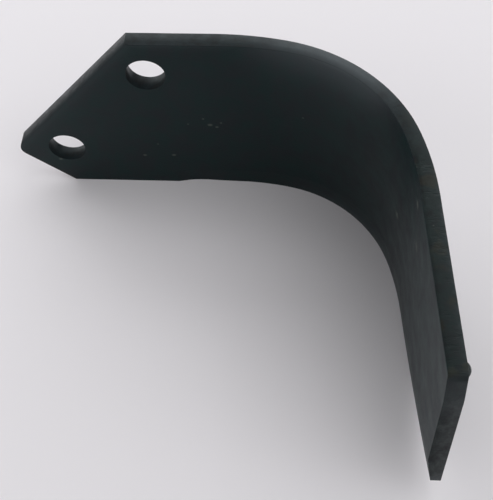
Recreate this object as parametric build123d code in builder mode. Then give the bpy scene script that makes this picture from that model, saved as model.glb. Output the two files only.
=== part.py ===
from build123d import *
from math import cos, hypot, radians, sin, sqrt, tan
import os

# Rotary tiller blade: one flat steel bar, bent on its edge into an L and standing on its cutting edge.
# It is drawn with the tang along X, its front face at Y = 0 and the leg coming forward, towards -Y.

# Bar
bar_width = 80.0
tang_thickness = 6.8
leg_thickness = 6.2

# Mounting holes, on a slanted line near the bar's end: the top one lies one margin below the top edge
hole_diameter = 15.5
edge_margin = 15.5
low_hole_height = 21.0
slant_angle = 41.4

# Mounting end: a slanted cut almost along the line of the holes, and a short one square to it
end_angle = 41.9
corner_radius = 4.5
rollover_radius = 2.0

# Bend: a tight middle between two easier leads, seen from above
hole_to_bend = 30.5
bend_angle = 86.0
bend_radius = 54.0
lead_radius = 110.0
lead_angle = 13.0
bend_thinning = 3.5

# Leg: its length along the top edge, an end that leans forward, more so at its shoulder, and an edge
# that rises to the tip
leg_length = 67.0
shoulder_height = 12.0
shoulder_lean = 12.5
shoulder_radius = 30.0
end_lean = 2.9
tip_rise = 12.0
rise_length = 86.0

# Cutting edge: depth into the thickness and height up the inner face, from its run-out to the tip
runout_start = 3.5
runout_length = 14.0
runout_depth = 1.3
neck_depth = 0.75
leg_bevel_depth = 1.3
tip_bevel_depth = 2.5
tang_bevel_height = 8.0
leg_bevel_height = 12.0
tip_bevel_height = 16.0

# Edges
edge_radius = 0.3
end_edge_radius = 0.9

# Bulge pushed out by the shear at the leg's outer top corner
bulge_radius = 3.0
bulge_height = 1.4
bulge_margin = 3.2

slant = radians(slant_angle)
end_slant = radians(end_angle)
turn = radians(bend_angle)
lead = radians(lead_angle)
lean = radians(end_lean)
hole_pitch = (bar_width - edge_margin - low_hole_height) / cos(slant)
overrun = bar_width / 2
cutter_reach = 2 * tang_thickness
section_spacing = leg_thickness


def setback(tight_radius, easy_radius):
    """Distance from the corner of two straight runs to where their three-arc bend starts."""
    across = tight_radius * (sin(turn - lead) - sin(lead)) + easy_radius * (
        sin(lead) + sin(turn) - sin(turn - lead)
    )
    down = tight_radius * (cos(lead) - cos(turn - lead)) + easy_radius * (
        1 - cos(lead) + cos(turn - lead) - cos(turn)
    )
    return hypot(across, down) / (2 * cos(turn / 2))


def bar_side(start, bend_start, tight_radius, easy_radius, run):
    """One side of the bent bar, from the mounting end to beyond the tip, seen from above."""
    tang = Line(start, bend_start)
    first = JernArc(tang @ 1, tang % 1, easy_radius, -lead_angle)
    middle = JernArc(first @ 1, first % 1, tight_radius, 2 * lead_angle - bend_angle)
    last = JernArc(middle @ 1, middle % 1, easy_radius, -lead_angle)
    Line(last @ 1, last @ 1 + (last % 1) * run)


# Inner and outer sides: the bar draws a little thinner over the outside of the bend
mean_thickness = (tang_thickness + leg_thickness) / 2
bar_start = -(hole_pitch + 2 * edge_margin)
inner_bend_start = hole_to_bend
inner_corner = inner_bend_start + setback(bend_radius, lead_radius)
outer_bend_radius = bend_radius + mean_thickness + bend_thinning
outer_lead_radius = lead_radius + mean_thickness + bend_thinning
outer_corner = inner_corner + (leg_thickness - tang_thickness * cos(turn)) / sin(turn)
outer_bend_start = outer_corner - setback(outer_bend_radius, outer_lead_radius)

with BuildLine() as inner_side:
    bar_side((bar_start, 0), (inner_bend_start, 0), bend_radius, lead_radius, leg_length + overrun)

with BuildLine() as outer_side:
    bar_side(
        (bar_start, tang_thickness),
        (outer_bend_start, tang_thickness),
        outer_bend_radius,
        outer_lead_radius,
        leg_length + overrun,
    )

# Mounting end seen from the front: both cuts lie one margin from the lower hole's centre
top_hole = Vector(0, bar_width - edge_margin)
low_hole = top_hole - Vector(sin(slant), cos(slant)) * hole_pitch
along_end = Vector(-sin(end_slant), -cos(end_slant))
to_end = Vector(-cos(end_slant), sin(end_slant))
end_corner = low_hole + (to_end + along_end) * edge_margin
top_corner = end_corner - along_end * ((bar_width - end_corner.Y) / cos(end_slant))
low_corner = end_corner - to_end * (end_corner.Y / sin(end_slant))

# Leg seen from the side: where its edges start and end, as Y and Z
leg_start = inner_side.wire().vertices().sort_by(Axis.Y)[1]
tip_top = leg_start.Y - leg_length * sin(turn)
shoulder = Vector(tip_top - shoulder_height * tan(radians(shoulder_lean)), bar_width - shoulder_height)
tip_low = shoulder.X - (shoulder.Y - tip_rise) * tan(lean)
rise_start = tip_low + rise_length
rise_radius = (rise_length**2 + tip_rise**2) / (2 * tip_rise)

# Bulge: its place on the leg's outer face, and its centre inside the leg
bulge_y = tip_top + bulge_margin
bulge_x = outer_corner + (tang_thickness - bulge_y) / tan(turn)
outward = Vector(sin(turn), cos(turn), 0)
bulge_centre = Vector(bulge_x, bulge_y, bar_width - bulge_margin) - outward * (bulge_radius - bulge_height)


def edge_height(y):
    """Height of the cutting edge, flat at first and rising on an arc towards the tip."""
    past = max(rise_start - y, 0.0)
    return rise_radius - sqrt(rise_radius**2 - past**2)


def bevel_section(distance, depth, height):
    """Cutter for the bevel, square to the inner side at a distance along it."""
    side = inner_side.wire()
    place = side.position_at(distance, position_mode=PositionMode.LENGTH)
    heading = side.tangent_at(distance, position_mode=PositionMode.LENGTH)
    across = Vector(-heading.Y, heading.X)
    low = edge_height(place.Y)
    edge_point = Vector(depth, low)
    face_point = Vector(min(depth - neck_depth, 0), low + height)
    slope = (edge_point - face_point).normalized()
    outside = face_point - slope * cutter_reach
    below = edge_point + slope * cutter_reach
    with BuildSketch(Plane(place, x_dir=across, z_dir=heading)) as section:
        with BuildLine():
            Polyline(outside, below, (outside.X, below.Y), close=True)
        make_face()
    return section.sketch


# Bevel from its run-out to beyond the tip: distance along the inner side, depth and height
tang_run = -bar_start
bend_run = tang_run + inner_bend_start
leg_run = inner_side.wire().length - leg_length - overrun
tip_run = leg_run + leg_length + (tip_top - tip_low) / sin(turn)
stations = [
    (tang_run + runout_start, 0.0, tang_bevel_height),
    (tang_run + runout_start + runout_length, runout_depth, tang_bevel_height),
    (bend_run, neck_depth, tang_bevel_height),
    (leg_run, leg_bevel_depth, leg_bevel_height),
    (tip_run, tip_bevel_depth, tip_bevel_height),
    (tip_run + section_spacing, tip_bevel_depth, tip_bevel_height),
]
bevel_sections = []
for here, after in zip(stations, stations[1:]):
    steps = max(1, round((after[0] - here[0]) / section_spacing))
    for step in range(steps):
        share = step / steps
        bevel_sections.append(bevel_section(*(a + (b - a) * share for a, b in zip(here, after))))
bevel_sections.append(bevel_section(*stations[-1]))

with BuildPart() as blade:
    # Bent bar
    with BuildSketch():
        with BuildLine():
            add(inner_side.line)
            add(outer_side.line)
            Line(inner_side.wire() @ 0, outer_side.wire() @ 0)
            Line(inner_side.wire() @ 1, outer_side.wire() @ 1)
        make_face()
    extrude(amount=bar_width)

    # Mounting end and lower edge of the tang, seen from the front
    with BuildSketch(Plane.XZ) as front_outline:
        with BuildLine():
            Polyline(
                (outer_corner + overrun, 0),
                low_corner,
                end_corner,
                top_corner,
                (outer_corner + overrun, bar_width),
                close=True,
            )
        make_face()
    extrude(amount=leg_length + rise_length + overrun, both=True, mode=Mode.INTERSECT)

    # Rising edge and leaning end of the leg, seen from the side
    with BuildSketch(Plane.YZ):
        with BuildLine():
            floor_line = Line((tang_thickness + overrun, 0), (rise_start, 0))
            rising_edge = TangentArc((rise_start, 0), (tip_low, tip_rise), tangent=(-1, 0))
            end_line = FilletPolyline(
                rising_edge @ 1, shoulder, (tip_top, bar_width), radius=shoulder_radius
            )
            top_line = Line(end_line @ 1, (tang_thickness + overrun, bar_width))
            Line(top_line @ 1, floor_line @ 0)
        make_face()
    extrude(amount=outer_corner + overrun, both=True, mode=Mode.INTERSECT)

    # Bevel of the cutting edge
    loft(bevel_sections, mode=Mode.SUBTRACT)

    # Edge rolled over by the shear along the slanted end, then the rounded end corner
    tang_faces = blade.faces().filter_by(Axis.Y).sort_by(Axis.Y)
    end_edges = tang_faces[0].edges().filter_by_position(Axis.X, end_corner.X, top_corner.X)
    fillet(end_edges.sort_by(Axis.Z)[-1], rollover_radius)
    with BuildSketch(Plane.XZ) as rounded_outline:
        add(front_outline.sketch_local)
        fillet(rounded_outline.vertices().sort_by(Axis.X)[0], corner_radius)
    extrude(amount=leg_length + rise_length + overrun, both=True, mode=Mode.INTERSECT)

    # Rounded end of the leg and long edges
    leg_end_edge = blade.faces().sort_by(Axis.Z)[-1].edges().sort_by(Axis.Y)[0]
    fillet(leg_end_edge, end_edge_radius)
    fillet(blade.faces().sort_by(Axis.Z)[-1].edges(), edge_radius)

    # Mounting holes
    with BuildSketch(Plane.XZ):
        with Locations(top_hole, low_hole):
            Circle(hole_diameter / 2)
    extrude(amount=tang_thickness * 2, both=True, mode=Mode.SUBTRACT)

    # Bulge at the leg's top corner
    with Locations(Plane(bulge_centre, z_dir=outward)):
        Sphere(bulge_radius)

# Origin on the floor, under the middle of the blade
middle = blade.part.bounding_box().center()
blade.part.position = (-middle.X, -middle.Y, 0)

blade.part.label = "blade"
os.makedirs("parts", exist_ok=True)
export_step(blade.part, "parts/blade.step")
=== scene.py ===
"""Rotary tiller blade: black painted steel on a pale floor under soft studio light."""

from math import cos, pi, radians, sin

import bpy
from mathutils import Matrix, Vector


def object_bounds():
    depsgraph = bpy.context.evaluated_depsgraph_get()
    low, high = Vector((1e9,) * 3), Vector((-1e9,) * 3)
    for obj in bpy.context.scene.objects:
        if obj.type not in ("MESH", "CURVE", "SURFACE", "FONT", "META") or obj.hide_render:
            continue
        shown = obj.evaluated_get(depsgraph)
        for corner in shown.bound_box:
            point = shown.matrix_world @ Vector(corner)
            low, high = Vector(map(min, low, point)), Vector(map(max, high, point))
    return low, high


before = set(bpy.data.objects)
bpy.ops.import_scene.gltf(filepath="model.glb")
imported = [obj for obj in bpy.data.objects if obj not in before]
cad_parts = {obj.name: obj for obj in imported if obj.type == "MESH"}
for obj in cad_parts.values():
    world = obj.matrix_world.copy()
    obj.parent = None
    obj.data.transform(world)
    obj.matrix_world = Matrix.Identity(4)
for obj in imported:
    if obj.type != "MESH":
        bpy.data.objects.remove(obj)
cad_low, cad_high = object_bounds()

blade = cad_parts["blade"]

# The blade's own sizes, in metres: the bent bar seen from above, as in the part's source
bar_width = 0.080
tang_thickness, leg_thickness = 0.0068, 0.0062
tang_front = cad_high.y - tang_thickness
bend_radius, lead_radius = 0.054, 0.110
bend_angle, lead_angle = radians(86), radians(13)
bend_centre = (0.016617, tang_front - bend_radius - (lead_radius - bend_radius) * (1 - cos(lead_angle)))
end_angle, edge_margin = radians(41.9), 0.0155
rise_start, rise_radius = cad_low.y + 0.086, 0.3142

# Places along the bar and up it: the holes' centres, and paint chips on the inner face with their size
hole_radius, rim_width = 0.00775, 0.0006
high_hole, low_hole = (-0.043098, 0.0645), (-0.081448, 0.0210)
chip_places = [
    (-0.0201, 0.0369, 0.0010), (-0.0174, 0.0357, 0.0007), (-0.0156, 0.0382, 0.0005),
    (-0.0227, 0.0404, 0.0005), (-0.0489, 0.0172, 0.0008), (-0.0366, 0.0176, 0.0009),
    (-0.0426, 0.0245, 0.0004), (0.0176, 0.0468, 0.0004), (-0.0290, 0.0372, 0.0004),
    (-0.0856, 0.0135, 0.0008), (0.0936, 0.0714, 0.0018), (0.0740, 0.0392, 0.0018),
    (0.1023, 0.0593, 0.0021),
]
chip_core, chip_stretch, chip_depth = 0.3, 0.7, 0.001

# How far the hot bending and the shear turned the surface
shoulder_start, shoulder_end = (-0.018, 0.030), (0.034, 0.064)
shoulder_fade, shoulder_width, shoulder_slope, shoulder_on_edge = 0.0065, 0.0030, 0.70, 0.75
back_lean, crown_slope, crown_front, crown_back = 0.08, 0.34, -0.6, 0.4
roll_reach, roll_slope, roll_fade = 0.010, 0.20, 0.0022
cap_height, cap_slope = 0.004, 0.55
bevel_softness = 0.6

# How far round the bend the leg begins: for the turned surface, for the paint and for its worn outer rim
lean_turn, paint_turn, rim_turn = radians(40), radians(55), (radians(25), radians(70))

# Facings between which a surface comes to count as a flat face, a front, the leg's end, its top edge
# and the left side of a hole
face_facing, front_facing, end_facing = (0.55, 0.92), (-0.05, -0.5), (-0.3, -0.8)
top_facing, left_facing = (0.3, 0.6), (0.2, 0.9)

# Patterns in the paint: cycles per metre (all ways alike, or along, through and up), detail and roughness
peel_noise, run_noise = (900.0, 3.0, 0.6), ((34.0, 100.0, 100.0), 1.0, 0.5)
mottle_noise, patch_noise = (110.0, 4.0, 0.65), ((320.0, 320.0, 180.0), 5.0, 0.7)
line_noise, tear_noise = ((560.0, 150.0, 560.0), 4.0, 0.65), ((150.0, 110.0, 150.0), 3.0, 0.6)
rust_noise = (180.0, 2.0, 0.5)

# Values of a pattern from which it begins to show and shows in full
run_range, mottle_range, patch_range = (0.30, 0.70), (0.35, 0.65), (0.45, 0.62)
line_range, tear_range, rust_range, rim_range = (0.44, 0.66), (0.42, 0.62), (0.52, 0.70), (0.35, 0.6)

# Heights of the paint's surface, the depth of the marks, and where there are fewer of them
peel_height, patch_height, mark_depth = 0.000038, 0.00006, 0.00009
tang_marks, end_mark_loss = 0.10, 0.80

# Paint: how much it mirrors, its colours on the faces and on the cut edges, and those of what lies on it
specular_level, specular_tint = 0.23, (0.82, 1.0, 1.03, 1)
teal_black, slate_black = (0.0006, 0.0112, 0.0112, 1), (0.0056, 0.0090, 0.0112, 1)
tang_cut_black, leg_cut_black = (0.0034, 0.0054, 0.0074, 1), (0.0034, 0.0058, 0.0052, 1)
# The lighter grey is for worn paint and also for painted highlights and a painted reflection
patch_grey, worn_and_lit_grey = (0.0076, 0.0066, 0.0072, 1), (0.105, 0.118, 0.128, 1)
mark_black, rust_brown = (0.003, 0.004, 0.004, 1), (0.022, 0.018, 0.009, 1)
bare_brown = (0.034, 0.018, 0.011, 1)
speck_grey, chip_grey = (0.10, 0.11, 0.10, 1), (0.11, 0.12, 0.10, 1)

# How far each of them covers the paint below it
cut_share, mark_share, rust_share, bare_share = 0.8, 0.6, 0.45, 0.5
speck_share, chip_share = 0.6, 0.45

# How strongly the paint is drawn lighter at each place, and how far it reaches: worn paint on the leg's
# outer rim, painted highlights on the bend's shoulder, the slanted cut, the leg's end and below the tang's
# top edge, and a painted reflection of the floor along the lower edge
shoulder_highlight, cut_highlight, end_highlight = 0.75, 0.22, 0.18
low_edge_reflection, low_edge_reflection_reach, low_edge_reflection_start = 0.50, 0.0032, (0.0, 0.05)
top_highlight, top_highlight_reach, arris_highlight_reach = 0.14, 0.0016, 0.0007
rim_wear, rim_reach = (0.05, 0.30), 0.0009

# Where the painted highlight on the end's top and the brownish patches lie up the bar, and the bare metal
# towards the short cut
end_top_heights, rust_heights = (0.050, 0.070), (0.070, 0.078)
bare_reach = (edge_margin - 0.0009, edge_margin - 0.0001)

# Roughness of the paint, and what is added to it by each thing
paint_roughness, mottle_roughness, patch_roughness = (0.41, 0.44), 0.26, 0.85
cut_roughness, bore_roughness, bore_left_roughness = (0.24, 0.02), (0.34, 0.12), -0.20
bore_depths = (0.2, 0.9)
crease_roughness, crease_depths = 0.12, (0.0005, 0.0013)
crease_heights = (bar_width - 0.0012, bar_width - 0.0004)

# Floor and light
floor_size, floor_white, floor_roughness = 8, (0.80, 0.78, 0.81, 1), 0.9
room_light, lamp_distance = 0.04, 1.4

# Soft boxes: name, azimuth, elevation, width, height and radiance
softboxes = [
    ("back", 195, 20, 1.6, 1.0, 1.25),
    ("back_left", 235, 20, 1.2, 1.0, 2.2),
    ("high_back", 180, 38, 1.6, 0.8, 1.4),
    ("over_back", 180, 55, 1.4, 1.0, 0.4),
    ("over_right", 90, 70, 1.2, 1.2, 1.2),
    ("front_right", 50, 40, 1.4, 0.8, 1.2),
    ("front_left", 315, 35, 1.4, 0.8, 1.25),
    ("right", 100, 30, 1.4, 1.0, 0.9),
]

# Camera: its place in metres, and how it is turned
camera_place = (0.035229, -0.195926, 0.33166)
camera_pitch, camera_yaw, camera_roll = radians(55.664), radians(-5.917), radians(-3.447)


# Node helpers

def node(tree, kind, **settings):
    """Adds a node and sets its properties."""
    made = tree.nodes.new(kind)
    for name, value in settings.items():
        setattr(made, name, value)
    return made


def put(tree, socket, value):
    """Gives a socket a value, or a link where the value is another node's socket."""
    if hasattr(value, "links"):
        tree.links.new(value, socket)
    else:
        socket.default_value = value


def calc(tree, operation, *values, clamp=False):
    """A Math node on values or sockets."""
    made = node(tree, "ShaderNodeMath", operation=operation, use_clamp=clamp)
    for socket, value in zip(made.inputs, values):
        put(tree, socket, value)
    return made.outputs[0]


def remap(tree, value, low, high, to_low=0.0, to_high=1.0, kind="SMOOTHSTEP"):
    """A value taken from one range to another, with soft ends."""
    made = node(tree, "ShaderNodeMapRange", interpolation_type=kind)
    names = ("Value", "From Min", "From Max", "To Min", "To Max")
    for name, number in zip(names, (value, low, high, to_low, to_high)):
        put(tree, made.inputs[name], number)
    return made.outputs["Result"]


def fade_from(tree, value, top, reach):
    """1 where a value is at its top, and less below it: by a factor of e over each reach."""
    return calc(tree, "EXPONENT", calc(tree, "DIVIDE", calc(tree, "SUBTRACT", value, top), reach))


def off_leg(tree, on_leg, share):
    """A share that holds on the tang and fades to nothing on the leg."""
    return calc(tree, "MULTIPLY_ADD", on_leg, -share, share)


def vector(tree, operation, first, second=None):
    """A Vector Math node on vectors or sockets."""
    made = node(tree, "ShaderNodeVectorMath", operation=operation)
    put(tree, made.inputs[0], first)
    if second is not None:
        put(tree, made.inputs[1], second)
    return made.outputs["Vector"]


def dot(tree, first, second):
    """The dot product of two vectors."""
    made = node(tree, "ShaderNodeVectorMath", operation="DOT_PRODUCT")
    put(tree, made.inputs[0], first)
    put(tree, made.inputs[1], second)
    return made.outputs["Value"]


def joined(tree, x, y, z):
    """A vector from three values."""
    made = node(tree, "ShaderNodeCombineXYZ")
    for socket, value in zip(made.inputs, (x, y, z)):
        put(tree, socket, value)
    return made.outputs[0]


def separated(tree, place):
    """The three values of a vector, by name."""
    made = node(tree, "ShaderNodeSeparateXYZ")
    put(tree, made.inputs[0], place)
    return made.outputs


def scaled(tree, direction, length):
    """A direction times a value."""
    made = node(tree, "ShaderNodeVectorMath", operation="SCALE")
    put(tree, made.inputs[0], direction)
    put(tree, made.inputs["Scale"], length)
    return made.outputs["Vector"]


def distance(tree, first, second):
    """How far two places are apart."""
    made = node(tree, "ShaderNodeVectorMath", operation="DISTANCE")
    put(tree, made.inputs[0], first)
    put(tree, made.inputs[1], second)
    return made.outputs["Value"]


def noise(tree, place, scale, detail, roughness):
    """A Noise texture's value. The scale is one number, or three for along, through and up."""
    if isinstance(scale, tuple):
        place, scale = vector(tree, "MULTIPLY", place, scale), 1.0
    made = node(tree, "ShaderNodeTexNoise")
    for name, value in (("Vector", place), ("Scale", scale), ("Detail", detail), ("Roughness", roughness)):
        put(tree, made.inputs[name], value)
    return made.outputs["Fac"]


def blend(tree, share, first, second):
    """A colour between two others."""
    made = node(tree, "ShaderNodeMix", data_type="RGBA")
    put(tree, made.inputs["Factor"], share)
    for socket, value in zip([s for s in made.inputs if s.type == "RGBA"], (first, second)):
        put(tree, socket, value)
    return next(s for s in made.outputs if s.type == "RGBA")


def group(name, inputs, outputs):
    """An empty shader node group with its sockets, and its input and output nodes."""
    tree = bpy.data.node_groups.new(name, "ShaderNodeTree")
    for socket, kind, value in inputs:
        made = tree.interface.new_socket(name=socket, in_out="INPUT", socket_type=kind)
        if value is not None:
            made.default_value = value
    for socket, kind in outputs:
        tree.interface.new_socket(name=socket, in_out="OUTPUT", socket_type=kind)
    return tree, tree.nodes.new("NodeGroupInput").outputs, tree.nodes.new("NodeGroupOutput").inputs


def place_group(tree, name, **inputs):
    """A node group placed in a tree, with its own values. Gives its outputs."""
    made = node(tree, "ShaderNodeGroup", node_tree=bpy.data.node_groups[name])
    for socket, value in inputs.items():
        put(tree, made.inputs[socket.replace("_", " ")], value)
    return made.outputs


# Node groups

def unrolled_bar():
    """Coordinates of the bar as if it were straight: along it, through its thickness and up its width."""
    tree, given, made = group("unrolled_bar", [("Object", "NodeSocketVector", None)], [
        ("Place", "NodeSocketVector"), ("Along", "NodeSocketFloat"), ("Through", "NodeSocketFloat"),
        ("Up", "NodeSocketFloat"), ("Turn", "NodeSocketFloat"), ("Outward", "NodeSocketVector"),
    ])
    split = separated(tree, given["Object"])
    x = calc(tree, "SUBTRACT", split["X"], bend_centre[0])
    y = calc(tree, "SUBTRACT", split["Y"], bend_centre[1])
    turn = calc(tree, "MINIMUM", calc(tree, "MAXIMUM", calc(tree, "ARCTAN2", x, y), 0.0), bend_angle)
    s, c = calc(tree, "SINE", turn), calc(tree, "COSINE", turn)
    past = calc(tree, "SUBTRACT", calc(tree, "MULTIPLY", x, c), calc(tree, "MULTIPLY", y, s))
    along = calc(tree, "MULTIPLY_ADD", turn, bend_radius, past)
    out = calc(tree, "ADD", calc(tree, "MULTIPLY", x, s), calc(tree, "MULTIPLY", y, c))
    in_lead = calc(tree, "MAXIMUM", calc(tree, "SUBTRACT", lead_angle, turn),
                   calc(tree, "SUBTRACT", turn, bend_angle - lead_angle))
    in_lead = calc(tree, "MAXIMUM", in_lead, 0.0)
    easing = calc(tree, "MULTIPLY", in_lead, in_lead)
    easing = calc(tree, "MULTIPLY", easing, (lead_radius - bend_radius) / 2)
    through = calc(tree, "SUBTRACT", calc(tree, "SUBTRACT", out, bend_radius), easing)
    for name, value in (
        ("Place", joined(tree, along, through, split["Z"])), ("Along", along), ("Through", through),
        ("Up", split["Z"]), ("Turn", turn), ("Outward", joined(tree, s, c, 0.0)),
    ):
        put(tree, made[name], value)


def sheared_edge():
    """Where the bar's cut edges are, how far across them a point lies, and the marks the shear left."""
    tree, given, made = group("sheared_edge", [
        ("Place", "NodeSocketVector", None), ("Through", "NodeSocketFloat", None),
        ("Outward", "NodeSocketVector", None), ("Facing", "NodeSocketVector", None),
    ], [("Edge", "NodeSocketFloat"), ("Across", "NodeSocketFloat"), ("Marks", "NodeSocketFloat")])
    face = calc(tree, "ABSOLUTE", dot(tree, given["Outward"], given["Facing"]))
    put(tree, made["Edge"], remap(tree, face, *face_facing, 1.0, 0.0))
    put(tree, made["Across"], remap(tree, given["Through"], 0.0, leg_thickness, kind="LINEAR"))
    lines = remap(tree, noise(tree, given["Place"], *line_noise), *line_range)
    tears = remap(tree, noise(tree, given["Place"], *tear_noise), *tear_range)
    put(tree, made["Marks"], calc(tree, "MULTIPLY", lines, tears))


def paint_grain():
    """The paint's own surface: fine peel, soft runs along the bar, broad mottling and uneven patches."""
    tree, given, made = group("paint_grain", [("Place", "NodeSocketVector", None)], [
        ("Peel", "NodeSocketFloat"), ("Runs", "NodeSocketFloat"), ("Mottle", "NodeSocketFloat"),
        ("Patches", "NodeSocketFloat"),
    ])
    for name, pattern in (
        ("Peel", peel_noise), ("Runs", run_noise), ("Mottle", mottle_noise), ("Patches", patch_noise),
    ):
        put(tree, made[name], noise(tree, given["Place"], *pattern))


def dust_specks():
    """Sparse pale specks: one in some cells, each of its own size."""
    tree, given, made = group("dust_specks", [
        ("Place", "NodeSocketVector", None), ("Spacing", "NodeSocketFloat", 0.006),
        ("Share", "NodeSocketFloat", 0.1), ("Size", "NodeSocketFloat", 0.0004),
    ], [("Specks", "NodeSocketFloat")])
    cells = node(tree, "ShaderNodeTexVoronoi")
    put(tree, cells.inputs["Vector"], given["Place"])
    put(tree, cells.inputs["Scale"], calc(tree, "DIVIDE", 1.0, given["Spacing"]))
    tint = node(tree, "ShaderNodeSeparateColor")
    put(tree, tint.inputs[0], cells.outputs["Color"])
    chosen = calc(tree, "LESS_THAN", tint.outputs["Red"], given["Share"])
    size = calc(tree, "MULTIPLY", calc(tree, "DIVIDE", given["Size"], given["Spacing"]),
                calc(tree, "ADD", 0.5, tint.outputs["Green"]))
    speck = calc(tree, "SUBTRACT", 1.0, calc(tree, "DIVIDE", cells.outputs["Distance"], size), clamp=True)
    put(tree, made["Specks"], calc(tree, "MULTIPLY", chosen, speck))


def forged_lean():
    """How the bending and the shear turned the surface: a soft shoulder inside the bend, rolled cut ends;
    and masks for the painted highlights on the shoulder and the slanted cut.
    """
    tree, given, made = group("forged_lean", [
        ("Along", "NodeSocketFloat", None), ("Through", "NodeSocketFloat", None),
        ("Up", "NodeSocketFloat", None), ("Turn", "NodeSocketFloat", None),
        ("Outward", "NodeSocketVector", None), ("Facing", "NodeSocketVector", None),
        ("Edge", "NodeSocketFloat", None),
    ], [("Normal", "NodeSocketVector"), ("ShoulderHighlight", "NodeSocketFloat"), ("CutHighlight", "NodeSocketFloat")])
    bend = calc(tree, "MULTIPLY", remap(tree, given["Along"], *shoulder_start),
                remap(tree, given["Along"], *shoulder_end, 1.0, 0.0))
    on_leg = remap(tree, given["Turn"], lean_turn, bend_angle)
    face = calc(tree, "SUBTRACT", 1.0, given["Edge"])
    inner = calc(tree, "LESS_THAN", given["Through"], leg_thickness / 2)
    # The inner face turns upwards below its top edge, and the top edge turns down to meet it
    fade = calc(tree, "MULTIPLY", fade_from(tree, given["Up"], bar_width, shoulder_fade), bend)
    on_inner = calc(tree, "MULTIPLY", face, inner)
    rise = calc(tree, "MULTIPLY", calc(tree, "MULTIPLY", fade, shoulder_slope), on_inner)
    # Where the shoulder inside the bend is later painted lighter, as a painted highlight
    shown = calc(tree, "MAXIMUM", calc(tree, "MULTIPLY", given["Edge"], shoulder_on_edge), on_inner)
    put(tree, made["ShoulderHighlight"], calc(tree, "MULTIPLY", fade, shown))
    drop = remap(tree, given["Through"], shoulder_width, 0.0, kind="LINEAR")
    drop = calc(tree, "MULTIPLY_ADD", calc(tree, "MULTIPLY", drop, -shoulder_slope), bend,
                calc(tree, "MULTIPLY", bend, back_lean))
    crown = remap(tree, given["Through"], 0.0, leg_thickness, crown_front, crown_back, kind="LINEAR")
    crown = calc(tree, "MULTIPLY", crown, off_leg(tree, on_leg, crown_slope))
    drop = calc(tree, "MULTIPLY", calc(tree, "ADD", drop, crown), given["Edge"])
    # The top of the leg's end is worn to a small facet
    cap = remap(tree, given["Up"], bar_width - cap_height, bar_width - cap_height / 2, 0.0, cap_slope)
    cap = calc(tree, "MULTIPLY", calc(tree, "MULTIPLY", cap, on_leg), given["Edge"])
    # The tang's front face rolls over towards the slanted cut
    from_hole = calc(tree, "SUBTRACT", given["Along"], low_hole[0])
    to_cut = calc(tree, "MULTIPLY_ADD", calc(tree, "SUBTRACT", given["Up"], low_hole[1]), sin(end_angle),
                  calc(tree, "MULTIPLY", from_hole, -cos(end_angle)))
    roll = remap(tree, to_cut, edge_margin - roll_reach, edge_margin, kind="LINEAR")
    roll = calc(tree, "MULTIPLY", calc(tree, "MULTIPLY", roll, roll), roll_slope)
    roll = calc(tree, "MULTIPLY", roll, face)
    turned = scaled(tree, joined(tree, 0.0, 0.0, 1.0), calc(tree, "ADD", rise, cap))
    for added in (scaled(tree, given["Outward"], drop),
                  scaled(tree, joined(tree, -cos(end_angle), 0.0, sin(end_angle)), roll)):
        turned = vector(tree, "ADD", turned, added)
    # Where the slanted cut's rolled edge is later painted lighter, as a painted highlight
    in_front = remap(tree, dot(tree, given["Outward"], given["Facing"]), *front_facing)
    put(tree, made["CutHighlight"], calc(tree, "MULTIPLY", in_front, fade_from(tree, to_cut, edge_margin, roll_fade)))
    # The bevel runs softly into the inner face
    soft = scaled(tree, vector(tree, "ADD", given["Facing"], given["Outward"]),
                  calc(tree, "MULTIPLY", on_inner, -bevel_softness))
    turned = vector(tree, "ADD", turned, soft)
    put(tree, made["Normal"], vector(tree, "NORMALIZE", vector(tree, "ADD", given["Facing"], turned)))


for build in (unrolled_bar, sheared_edge, paint_grain, dust_specks, forged_lean):
    build()


# Materials

def bump(tree, height, normal):
    """A Bump node on a height in metres, over a normal."""
    made = node(tree, "ShaderNodeBump")
    made.inputs["Strength"].default_value = 1.0
    made.inputs["Distance"].default_value = 1.0
    put(tree, made.inputs["Height"], height)
    put(tree, made.inputs["Normal"], normal)
    return made.outputs["Normal"]


def shear_marks(tree, edges, on_leg, on_end):
    """The shear's marks: all of them on the leg's top edge, few on its end and hardly any on the tang."""
    marks = calc(tree, "MULTIPLY", calc(tree, "MULTIPLY", edges["Marks"], edges["Edge"]),
                 remap(tree, on_leg, 0.0, 1.0, tang_marks, 1.0, kind="LINEAR"))
    return calc(tree, "MULTIPLY", marks, calc(tree, "MULTIPLY_ADD", on_end, -end_mark_loss, 1.0))


def rust_patches(tree, bar, edges, on_leg):
    """Brownish patches on the leg's top edge."""
    on_top = calc(tree, "MULTIPLY", edges["Edge"], remap(tree, bar["Up"], *rust_heights))
    patches = remap(tree, noise(tree, bar["Place"], *rust_noise), *rust_range)
    return calc(tree, "MULTIPLY", calc(tree, "MULTIPLY", on_top, patches), on_leg)


def paint_chips(tree, bar):
    """Pale chips on the inner face, at their places and a little longer along the bar than up it."""
    place = vector(tree, "MULTIPLY", bar["Place"], (chip_stretch, 0.0, 1.0))
    chips = 0.0
    for along, up, size in chip_places:
        chip = distance(tree, place, (along * chip_stretch, 0.0, up))
        chips = calc(tree, "MAXIMUM", chips, remap(tree, chip, size * chip_core, size, 1.0, 0.0))
    return calc(tree, "MULTIPLY", chips, calc(tree, "LESS_THAN", bar["Through"], chip_depth))


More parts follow.
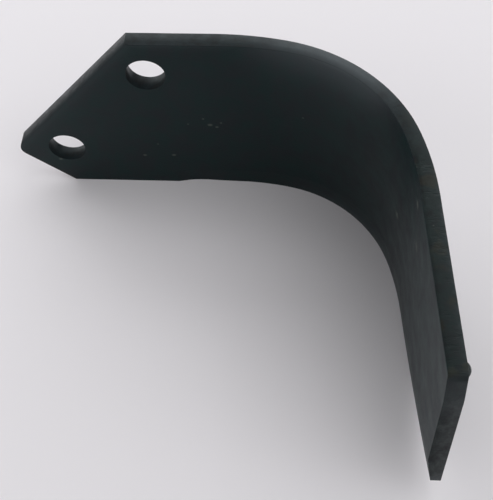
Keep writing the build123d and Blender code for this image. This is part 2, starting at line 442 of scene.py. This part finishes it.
def worn_and_lit_paint(tree, bar, grain, edges, lean, axes, world_y, on_leg, on_end):
    """Where the paint is drawn lighter: worn on the leg's outer top rim, with painted highlights and a
    painted reflection of the floor elsewhere.
    """
    # A painted reflection of the floor along the lower edge, which rises on an arc towards the tip
    past = calc(tree, "MAXIMUM", calc(tree, "SUBTRACT", rise_start, world_y), 0.0)
    low = calc(tree, "DIVIDE", calc(tree, "MULTIPLY", past, past), 2 * rise_radius)
    low_edge = calc(tree, "MULTIPLY", fade_from(tree, low, bar["Up"], low_edge_reflection_reach),
                    remap(tree, bar["Along"], *low_edge_reflection_start))
    # A painted highlight on the tang's face below its top edge, and on the arris between the two
    below_top = calc(tree, "MULTIPLY", fade_from(tree, bar["Up"], bar_width, top_highlight_reach),
                     off_leg(tree, on_leg, top_highlight))
    below_top = calc(tree, "MULTIPLY", below_top, calc(tree, "SUBTRACT", 1.0, edges["Edge"]))
    to_arris = calc(tree, "SUBTRACT", bar["Up"], calc(tree, "MAXIMUM", bar["Through"], 0.0))
    arris = calc(tree, "MULTIPLY", fade_from(tree, to_arris, bar_width, arris_highlight_reach),
                 off_leg(tree, on_leg, top_highlight))
    # The outer rim of the leg's top edge
    rim = calc(tree, "MULTIPLY", fade_from(tree, bar["Through"], leg_thickness, rim_reach),
               remap(tree, axes["Z"], *top_facing))
    rim = calc(tree, "MULTIPLY", rim, remap(tree, bar["Turn"], *rim_turn))
    rim = calc(tree, "MULTIPLY", rim, remap(tree, grain["Patches"], *rim_range, *rim_wear))
    # Painted highlights on the shoulder inside the bend, the slanted cut's rolled edge and the top of the
    # leg's end
    end_top = calc(tree, "MULTIPLY", on_end, remap(tree, bar["Up"], *end_top_heights))
    worn_and_lit = calc(tree, "MULTIPLY", lean["ShoulderHighlight"], shoulder_highlight)
    for added in (
        calc(tree, "MULTIPLY", low_edge, low_edge_reflection), below_top, arris, rim,
        calc(tree, "MULTIPLY", lean["CutHighlight"], cut_highlight), calc(tree, "MULTIPLY", end_top, end_highlight),
    ):
        worn_and_lit = calc(tree, "MAXIMUM", worn_and_lit, added, clamp=True)
    return worn_and_lit


def paint_gloss(tree, bar, grain, edges, flat, axes, on_leg):
    """The paint's roughness: duller on the cut edges and in the holes, most so near the inner face."""
    roughness = remap(tree, grain["Runs"], *run_range, *paint_roughness)
    mottle = calc(tree, "SUBTRACT", grain["Mottle"], 0.5)
    roughness = calc(tree, "MULTIPLY_ADD", mottle, mottle_roughness, roughness)
    patches = calc(tree, "MULTIPLY", calc(tree, "SUBTRACT", grain["Patches"], 0.5), edges["Edge"])
    roughness = calc(tree, "MULTIPLY_ADD", patches, patch_roughness, roughness)
    cut = remap(tree, edges["Across"], 0.0, 1.0, *cut_roughness)
    roughness = calc(tree, "MULTIPLY_ADD", edges["Edge"], cut, roughness)
    in_holes = calc(tree, "MAXIMUM", *(
        remap(tree, distance(tree, flat, (along, 0.0, up)), hole_radius, hole_radius + rim_width, 1.0, 0.0)
        for along, up in (high_hole, low_hole)
    ))
    bore = calc(tree, "ADD", remap(tree, edges["Across"], *bore_depths, *bore_roughness),
                remap(tree, axes["X"], *left_facing, 0.0, bore_left_roughness))
    roughness = calc(tree, "MULTIPLY_ADD", calc(tree, "MULTIPLY", in_holes, edges["Edge"]), bore, roughness)
    # The dull crease along the leg's inner top arris
    crease = calc(tree, "MULTIPLY", on_leg, remap(tree, bar["Up"], *crease_heights))
    crease = calc(tree, "MULTIPLY", crease, remap(tree, bar["Through"], *crease_depths, 1.0, 0.0))
    return calc(tree, "MULTIPLY_ADD", crease, crease_roughness, roughness, clamp=True)


def black_paint():
    """Semi-gloss black paint on hot-formed steel, duller over the sheared edges and in the holes."""
    material = bpy.data.materials.new("black_paint")
    material.use_nodes = True
    tree = material.node_tree
    shader = tree.nodes["Principled BSDF"]
    shader.inputs["Specular IOR Level"].default_value = specular_level
    shader.inputs["Specular Tint"].default_value = specular_tint
    place = node(tree, "ShaderNodeTexCoord")
    bar = place_group(tree, "unrolled_bar", Object=place.outputs["Object"])
    facing = place.outputs["Normal"]
    axes = separated(tree, facing)
    grain = place_group(tree, "paint_grain", Place=bar["Place"])
    edges = place_group(tree, "sheared_edge", Place=bar["Place"], Through=bar["Through"],
                        Outward=bar["Outward"], Facing=facing)
    specks = place_group(tree, "dust_specks", Place=bar["Place"])["Specks"]
    lean = place_group(tree, "forged_lean", Along=bar["Along"], Through=bar["Through"], Up=bar["Up"],
                       Turn=bar["Turn"], Outward=bar["Outward"], Facing=facing, Edge=edges["Edge"])

    # Masks
    on_leg = remap(tree, bar["Turn"], paint_turn, bend_angle)
    on_end = calc(tree, "MULTIPLY", on_leg, remap(tree, axes["Y"], *end_facing))
    flat = vector(tree, "MULTIPLY", bar["Place"], (1.0, 0.0, 1.0))
    marks = shear_marks(tree, edges, on_leg, on_end)
    to_short_cut = dot(tree, vector(tree, "SUBTRACT", flat, (low_hole[0], 0.0, low_hole[1])),
                       (-sin(end_angle), 0.0, -cos(end_angle)))
    bare = remap(tree, to_short_cut, *bare_reach)
    rust = rust_patches(tree, bar, edges, on_leg)
    chips = paint_chips(tree, bar)
    world_y = separated(tree, place.outputs["Object"])["Y"]
    worn_and_lit = worn_and_lit_paint(tree, bar, grain, edges, lean, axes, world_y, on_leg, on_end)

    # Colour and roughness
    colour = blend(tree, remap(tree, grain["Mottle"], *mottle_range), teal_black, slate_black)
    edge_tint = blend(tree, on_leg, tang_cut_black, leg_cut_black)
    edge_tint = blend(tree, remap(tree, grain["Patches"], *patch_range), edge_tint, patch_grey)
    colour = blend(tree, calc(tree, "MULTIPLY", edges["Edge"], cut_share), colour, edge_tint)
    # Worn paint, painted highlights and a painted reflection of the floor, all in the lighter grey
    colour = blend(tree, worn_and_lit, colour, worn_and_lit_grey)
    for mask, share, tint in (
        (marks, mark_share, mark_black), (rust, rust_share, rust_brown), (bare, bare_share, bare_brown),
        (specks, speck_share, speck_grey), (chips, chip_share, chip_grey),
    ):
        colour = blend(tree, calc(tree, "MULTIPLY", mask, share), colour, tint)
    put(tree, shader.inputs["Base Color"], colour)
    put(tree, shader.inputs["Roughness"], paint_gloss(tree, bar, grain, edges, flat, axes, on_leg))

    # Fine relief
    height = calc(tree, "MULTIPLY", marks, -mark_depth)
    height = calc(tree, "MULTIPLY_ADD", grain["Peel"], peel_height, height)
    patches = calc(tree, "MULTIPLY", grain["Patches"], edges["Edge"])
    height = calc(tree, "MULTIPLY_ADD", patches, patch_height, height)
    put(tree, shader.inputs["Normal"], bump(tree, height, lean["Normal"]))
    return material


def pale_floor():
    """Smooth pale paper."""
    material = bpy.data.materials.new("pale_floor")
    material.use_nodes = True
    shader = material.node_tree.nodes["Principled BSDF"]
    shader.inputs["Base Color"].default_value = floor_white
    shader.inputs["Roughness"].default_value = floor_roughness
    shader.inputs["Specular IOR Level"].default_value = 0.0
    return material


blade.data.materials.clear()
blade.data.materials.append(black_paint())

# Floor
bpy.ops.object.select_all(action="DESELECT")
bpy.ops.mesh.primitive_plane_add(size=floor_size, location=(0, 0, 0))
floor = bpy.context.object
floor.name = "floor"
floor.data.materials.append(pale_floor())


# Lights

def softbox(name, azimuth, elevation, width, height, radiance):
    """A soft rectangular lamp that faces the blade. Azimuth 0 is in front of it and 90 to its right."""
    lamp = bpy.data.lights.new(name, "AREA")
    lamp.shape = "RECTANGLE"
    lamp.size = width
    lamp.size_y = height
    lamp.energy = radiance * pi * width * height
    made = bpy.data.objects.new(name, lamp)
    bpy.context.scene.collection.objects.link(made)
    a, e = radians(azimuth), radians(elevation)
    away = Vector((sin(a) * cos(e), -cos(a) * cos(e), sin(e)))
    made.location = away * lamp_distance + Vector((0, 0, bar_width / 2))
    made.rotation_mode = "QUATERNION"
    made.rotation_quaternion = away.to_track_quat("Z", "Y")


for box in softboxes:
    softbox(*box)

world = bpy.data.worlds.new("studio")
bpy.context.scene.world = world
world.use_nodes = True
world.node_tree.nodes["Background"].inputs["Color"].default_value = (1, 1, 1, 1)
world.node_tree.nodes["Background"].inputs["Strength"].default_value = room_light

# Camera
camera = bpy.data.objects.new("camera", bpy.data.cameras.new("camera"))
bpy.context.scene.collection.objects.link(camera)
forward = Vector((
    sin(camera_yaw) * cos(camera_pitch), cos(camera_yaw) * cos(camera_pitch), -sin(camera_pitch),
))
level = Vector((cos(camera_yaw), -sin(camera_yaw), 0))
upright = level.cross(forward)
right = level * cos(camera_roll) + upright * sin(camera_roll)
above = upright * cos(camera_roll) - level * sin(camera_roll)
camera.matrix_world = Matrix.Translation(camera_place) @ Matrix((
    (right.x, above.x, -forward.x, 0),
    (right.y, above.y, -forward.y, 0),
    (right.z, above.z, -forward.z, 0),
    (0, 0, 0, 1),
))
camera.data.sensor_width = 36
camera.data.lens = 69.98
camera.data.clip_start = 0.01
camera.data.clip_end = 50
bpy.context.scene.camera = camera

bpy.context.scene.view_settings.view_transform = "Standard"
